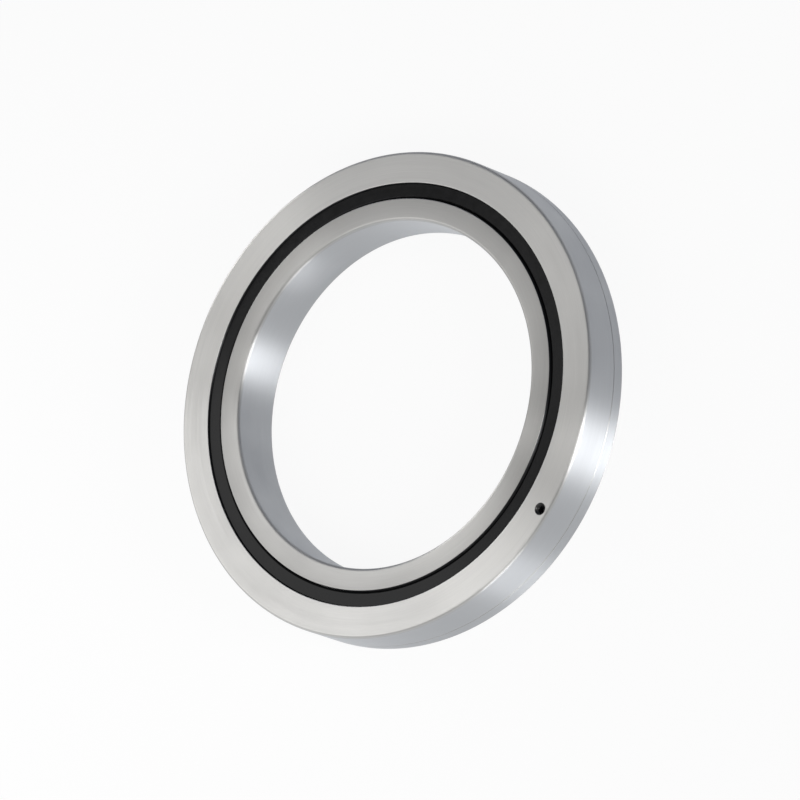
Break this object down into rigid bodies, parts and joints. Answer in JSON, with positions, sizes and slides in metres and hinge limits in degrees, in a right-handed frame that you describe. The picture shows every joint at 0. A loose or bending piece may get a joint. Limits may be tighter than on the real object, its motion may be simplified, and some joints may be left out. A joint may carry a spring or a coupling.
{
  "type": "crossed roller bearing",
  "caption": "Sealed crossed roller bearing: a split outer ring, a one-piece inner ring and a single row of crossed rollers that carries radial, axial and tilting loads.",
  "frame": {"origin": "centre of the bearing, on its axis and midway between its two faces", "axes": "+Z along the bearing's axis from the rear face to the front face, -Y towards the grease port"},
  "size_m": [0.21, 0.21, 0.025],
  "materials": {
    "ring_steel": "ground bearing steel with fine circular grinding marks",
    "roller_steel": "lapped bearing steel",
    "seal_rubber": "satin black rubber",
    "separator_plastic": "natural moulded nylon",
    "screw_steel": "black oxide steel"
  },
  "bodies": {
    "outer_ring": {"outer_ring_front": "ring_steel", "outer_ring_rear": "ring_steel", "seal_front": "seal_rubber", "seal_rear": "seal_rubber", "fixing_screws": "screw_steel", "grease_plug": "screw_steel"},
    "inner_ring": {"inner_ring": "ring_steel"},
    "separator_train": {"separators": "separator_plastic"},
    "roller_01": {"roller_01": "roller_steel"},
    "roller_02": {"roller_02": "roller_steel"},
    "roller_03": {"roller_03": "roller_steel"},
    "roller_04": {"roller_04": "roller_steel"},
    "roller_05": {"roller_05": "roller_steel"},
    "roller_06": {"roller_06": "roller_steel"},
    "roller_07": {"roller_07": "roller_steel"},
    "roller_08": {"roller_08": "roller_steel"},
    "roller_09": {"roller_09": "roller_steel"},
    "roller_10": {"roller_10": "roller_steel"},
    "roller_11": {"roller_11": "roller_steel"},
    "roller_12": {"roller_12": "roller_steel"},
    "roller_13": {"roller_13": "roller_steel"},
    "roller_14": {"roller_14": "roller_steel"},
    "roller_15": {"roller_15": "roller_steel"},
    "roller_16": {"roller_16": "roller_steel"},
    "roller_17": {"roller_17": "roller_steel"},
    "roller_18": {"roller_18": "roller_steel"},
    "roller_19": {"roller_19": "roller_steel"},
    "roller_20": {"roller_20": "roller_steel"},
    "roller_21": {"roller_21": "roller_steel"},
    "roller_22": {"roller_22": "roller_steel"},
    "roller_23": {"roller_23": "roller_steel"},
    "roller_24": {"roller_24": "roller_steel"},
    "roller_25": {"roller_25": "roller_steel"},
    "roller_26": {"roller_26": "roller_steel"},
    "roller_27": {"roller_27": "roller_steel"},
    "roller_28": {"roller_28": "roller_steel"},
    "roller_29": {"roller_29": "roller_steel"},
    "roller_30": {"roller_30": "roller_steel"},
    "roller_31": {"roller_31": "roller_steel"},
    "roller_32": {"roller_32": "roller_steel"},
    "roller_33": {"roller_33": "roller_steel"},
    "roller_34": {"roller_34": "roller_steel"},
    "roller_35": {"roller_35": "roller_steel"},
    "roller_36": {"roller_36": "roller_steel"},
    "roller_37": {"roller_37": "roller_steel"},
    "roller_38": {"roller_38": "roller_steel"},
    "roller_39": {"roller_39": "roller_steel"},
    "roller_40": {"roller_40": "roller_steel"}
  },
  "joints": [
    {"name": "inner_ring_turn", "type": "hinge", "parent": "outer_ring", "child": "inner_ring", "pos_m": [0, 0, 0], "axis": [0, 0, 1], "continuous": true},
    {"name": "separator_train_orbit", "type": "hinge", "parent": "outer_ring", "child": "separator_train", "pos_m": [0, 0, 0], "axis": [0, 0, 1], "continuous": true},
    {"name": "roller_01_spin", "type": "hinge", "parent": "separator_train", "child": "roller_01", "pos_m": [0.088, 0, 0], "axis": [0.7071, 0, 0.7071], "continuous": true},
    {"name": "roller_02_spin", "type": "hinge", "parent": "separator_train", "child": "roller_02", "pos_m": [0.08692, 0.01377, 0], "axis": [-0.6984, -0.1106, 0.7071], "continuous": true},
    {"name": "roller_03_spin", "type": "hinge", "parent": "separator_train", "child": "roller_03", "pos_m": [0.08369, 0.02719, 0], "axis": [0.6725, 0.2185, 0.7071], "continuous": true},
    {"name": "roller_04_spin", "type": "hinge", "parent": "separator_train", "child": "roller_04", "pos_m": [0.07841, 0.03995, 0], "axis": [-0.63, -0.321, 0.7071], "continuous": true},
    {"name": "roller_05_spin", "type": "hinge", "parent": "separator_train", "child": "roller_05", "pos_m": [0.07119, 0.05173, 0], "axis": [0.5721, 0.4156, 0.7071], "continuous": true},
    {"name": "roller_06_spin", "type": "hinge", "parent": "separator_train", "child": "roller_06", "pos_m": [0.06223, 0.06223, 0], "axis": [-0.5, -0.5, 0.7071], "continuous": true},
    {"name": "roller_07_spin", "type": "hinge", "parent": "separator_train", "child": "roller_07", "pos_m": [0.05173, 0.07119, 0], "axis": [0.4156, 0.5721, 0.7071], "continuous": true},
    {"name": "roller_08_spin", "type": "hinge", "parent": "separator_train", "child": "roller_08", "pos_m": [0.03995, 0.07841, 0], "axis": [-0.321, -0.63, 0.7071], "continuous": true},
    {"name": "roller_09_spin", "type": "hinge", "parent": "separator_train", "child": "roller_09", "pos_m": [0.02719, 0.08369, 0], "axis": [0.2185, 0.6725, 0.7071], "continuous": true},
    {"name": "roller_10_spin", "type": "hinge", "parent": "separator_train", "child": "roller_10", "pos_m": [0.01377, 0.08692, 0], "axis": [-0.1106, -0.6984, 0.7071], "continuous": true},
    {"name": "roller_11_spin", "type": "hinge", "parent": "separator_train", "child": "roller_11", "pos_m": [0, 0.088, 0], "axis": [0, 0.7071, 0.7071], "continuous": true},
    {"name": "roller_12_spin", "type": "hinge", "parent": "separator_train", "child": "roller_12", "pos_m": [-0.01377, 0.08692, 0], "axis": [0.1106, -0.6984, 0.7071], "continuous": true},
    {"name": "roller_13_spin", "type": "hinge", "parent": "separator_train", "child": "roller_13", "pos_m": [-0.02719, 0.08369, 0], "axis": [-0.2185, 0.6725, 0.7071], "continuous": true},
    {"name": "roller_14_spin", "type": "hinge", "parent": "separator_train", "child": "roller_14", "pos_m": [-0.03995, 0.07841, 0], "axis": [0.321, -0.63, 0.7071], "continuous": true},
    {"name": "roller_15_spin", "type": "hinge", "parent": "separator_train", "child": "roller_15", "pos_m": [-0.05173, 0.07119, 0], "axis": [-0.4156, 0.5721, 0.7071], "continuous": true},
    {"name": "roller_16_spin", "type": "hinge", "parent": "separator_train", "child": "roller_16", "pos_m": [-0.06223, 0.06223, 0], "axis": [0.5, -0.5, 0.7071], "continuous": true},
    {"name": "roller_17_spin", "type": "hinge", "parent": "separator_train", "child": "roller_17", "pos_m": [-0.07119, 0.05173, 0], "axis": [-0.5721, 0.4156, 0.7071], "continuous": true},
    {"name": "roller_18_spin", "type": "hinge", "parent": "separator_train", "child": "roller_18", "pos_m": [-0.07841, 0.03995, 0], "axis": [0.63, -0.321, 0.7071], "continuous": true},
    {"name": "roller_19_spin", "type": "hinge", "parent": "separator_train", "child": "roller_19", "pos_m": [-0.08369, 0.02719, 0], "axis": [-0.6725, 0.2185, 0.7071], "continuous": true},
    {"name": "roller_20_spin", "type": "hinge", "parent": "separator_train", "child": "roller_20", "pos_m": [-0.08692, 0.01377, 0], "axis": [0.6984, -0.1106, 0.7071], "continuous": true},
    {"name": "roller_21_spin", "type": "hinge", "parent": "separator_train", "child": "roller_21", "pos_m": [-0.088, 0, 0], "axis": [-0.7071, 0, 0.7071], "continuous": true},
    {"name": "roller_22_spin", "type": "hinge", "parent": "separator_train", "child": "roller_22", "pos_m": [-0.08692, -0.01377, 0], "axis": [0.6984, 0.1106, 0.7071], "continuous": true},
    {"name": "roller_23_spin", "type": "hinge", "parent": "separator_train", "child": "roller_23", "pos_m": [-0.08369, -0.02719, 0], "axis": [-0.6725, -0.2185, 0.7071], "continuous": true},
    {"name": "roller_24_spin", "type": "hinge", "parent": "separator_train", "child": "roller_24", "pos_m": [-0.07841, -0.03995, 0], "axis": [0.63, 0.321, 0.7071], "continuous": true},
    {"name": "roller_25_spin", "type": "hinge", "parent": "separator_train", "child": "roller_25", "pos_m": [-0.07119, -0.05173, 0], "axis": [-0.5721, -0.4156, 0.7071], "continuous": true},
    {"name": "roller_26_spin", "type": "hinge", "parent": "separator_train", "child": "roller_26", "pos_m": [-0.06223, -0.06223, 0], "axis": [0.5, 0.5, 0.7071], "continuous": true},
    {"name": "roller_27_spin", "type": "hinge", "parent": "separator_train", "child": "roller_27", "pos_m": [-0.05173, -0.07119, 0], "axis": [-0.4156, -0.5721, 0.7071], "continuous": true},
    {"name": "roller_28_spin", "type": "hinge", "parent": "separator_train", "child": "roller_28", "pos_m": [-0.03995, -0.07841, 0], "axis": [0.321, 0.63, 0.7071], "continuous": true},
    {"name": "roller_29_spin", "type": "hinge", "parent": "separator_train", "child": "roller_29", "pos_m": [-0.02719, -0.08369, 0], "axis": [-0.2185, -0.6725, 0.7071], "continuous": true},
    {"name": "roller_30_spin", "type": "hinge", "parent": "separator_train", "child": "roller_30", "pos_m": [-0.01377, -0.08692, 0], "axis": [0.1106, 0.6984, 0.7071], "continuous": true},
    {"name": "roller_31_spin", "type": "hinge", "parent": "separator_train", "child": "roller_31", "pos_m": [0, -0.088, 0], "axis": [0, -0.7071, 0.7071], "continuous": true},
    {"name": "roller_32_spin", "type": "hinge", "parent": "separator_train", "child": "roller_32", "pos_m": [0.01377, -0.08692, 0], "axis": [-0.1106, 0.6984, 0.7071], "continuous": true},
    {"name": "roller_33_spin", "type": "hinge", "parent": "separator_train", "child": "roller_33", "pos_m": [0.02719, -0.08369, 0], "axis": [0.2185, -0.6725, 0.7071], "continuous": true},
    {"name": "roller_34_spin", "type": "hinge", "parent": "separator_train", "child": "roller_34", "pos_m": [0.03995, -0.07841, 0], "axis": [-0.321, 0.63, 0.7071], "continuous": true},
    {"name": "roller_35_spin", "type": "hinge", "parent": "separator_train", "child": "roller_35", "pos_m": [0.05173, -0.07119, 0], "axis": [0.4156, -0.5721, 0.7071], "continuous": true},
    {"name": "roller_36_spin", "type": "hinge", "parent": "separator_train", "child": "roller_36", "pos_m": [0.06223, -0.06223, 0], "axis": [-0.5, 0.5, 0.7071], "continuous": true},
    {"name": "roller_37_spin", "type": "hinge", "parent": "separator_train", "child": "roller_37", "pos_m": [0.07119, -0.05173, 0], "axis": [0.5721, -0.4156, 0.7071], "continuous": true},
    {"name": "roller_38_spin", "type": "hinge", "parent": "separator_train", "child": "roller_38", "pos_m": [0.07841, -0.03995, 0], "axis": [-0.63, 0.321, 0.7071], "continuous": true},
    {"name": "roller_39_spin", "type": "hinge", "parent": "separator_train", "child": "roller_39", "pos_m": [0.08369, -0.02719, 0], "axis": [0.6725, -0.2185, 0.7071], "continuous": true},
    {"name": "roller_40_spin", "type": "hinge", "parent": "separator_train", "child": "roller_40", "pos_m": [0.08692, -0.01377, 0], "axis": [-0.6984, 0.1106, 0.7071], "continuous": true}
  ],
  "couplings": [
    {"joint": "separator_train_orbit", "follows": "inner_ring_turn", "ratio": 0.4779},
    {"joint": "roller_01_spin", "follows": "inner_ring_turn", "ratio": -7.9844},
    {"joint": "roller_02_spin", "follows": "inner_ring_turn", "ratio": -7.9844},
    {"joint": "roller_03_spin", "follows": "inner_ring_turn", "ratio": -7.9844},
    {"joint": "roller_04_spin", "follows": "inner_ring_turn", "ratio": -7.9844},
    {"joint": "roller_05_spin", "follows": "inner_ring_turn", "ratio": -7.9844},
    {"joint": "roller_06_spin", "follows": "inner_ring_turn", "ratio": -7.9844},
    {"joint": "roller_07_spin", "follows": "inner_ring_turn", "ratio": -7.9844},
    {"joint": "roller_08_spin", "follows": "inner_ring_turn", "ratio": -7.9844},
    {"joint": "roller_09_spin", "follows": "inner_ring_turn", "ratio": -7.9844},
    {"joint": "roller_10_spin", "follows": "inner_ring_turn", "ratio": -7.9844},
    {"joint": "roller_11_spin", "follows": "inner_ring_turn", "ratio": -7.9844},
    {"joint": "roller_12_spin", "follows": "inner_ring_turn", "ratio": -7.9844},
    {"joint": "roller_13_spin", "follows": "inner_ring_turn", "ratio": -7.9844},
    {"joint": "roller_14_spin", "follows": "inner_ring_turn", "ratio": -7.9844},
    {"joint": "roller_15_spin", "follows": "inner_ring_turn", "ratio": -7.9844},
    {"joint": "roller_16_spin", "follows": "inner_ring_turn", "ratio": -7.9844},
    {"joint": "roller_17_spin", "follows": "inner_ring_turn", "ratio": -7.9844},
    {"joint": "roller_18_spin", "follows": "inner_ring_turn", "ratio": -7.9844},
    {"joint": "roller_19_spin", "follows": "inner_ring_turn", "ratio": -7.9844},
    {"joint": "roller_20_spin", "follows": "inner_ring_turn", "ratio": -7.9844},
    {"joint": "roller_21_spin", "follows": "inner_ring_turn", "ratio": -7.9844},
    {"joint": "roller_22_spin", "follows": "inner_ring_turn", "ratio": -7.9844},
    {"joint": "roller_23_spin", "follows": "inner_ring_turn", "ratio": -7.9844},
    {"joint": "roller_24_spin", "follows": "inner_ring_turn", "ratio": -7.9844},
    {"joint": "roller_25_spin", "follows": "inner_ring_turn", "ratio": -7.9844},
    {"joint": "roller_26_spin", "follows": "inner_ring_turn", "ratio": -7.9844},
    {"joint": "roller_27_spin", "follows": "inner_ring_turn", "ratio": -7.9844},
    {"joint": "roller_28_spin", "follows": "inner_ring_turn", "ratio": -7.9844},
    {"joint": "roller_29_spin", "follows": "inner_ring_turn", "ratio": -7.9844},
    {"joint": "roller_30_spin", "follows": "inner_ring_turn", "ratio": -7.9844},
    {"joint": "roller_31_spin", "follows": "inner_ring_turn", "ratio": -7.9844},
    {"joint": "roller_32_spin", "follows": "inner_ring_turn", "ratio": -7.9844},
    {"joint": "roller_33_spin", "follows": "inner_ring_turn", "ratio": -7.9844},
    {"joint": "roller_34_spin", "follows": "inner_ring_turn", "ratio": -7.9844},
    {"joint": "roller_35_spin", "follows": "inner_ring_turn", "ratio": -7.9844},
    {"joint": "roller_36_spin", "follows": "inner_ring_turn", "ratio": -7.9844},
    {"joint": "roller_37_spin", "follows": "inner_ring_turn", "ratio": -7.9844},
    {"joint": "roller_38_spin", "follows": "inner_ring_turn", "ratio": -7.9844},
    {"joint": "roller_39_spin", "follows": "inner_ring_turn", "ratio": -7.9844},
    {"joint": "roller_40_spin", "follows": "inner_ring_turn", "ratio": -7.9844}
  ]
}
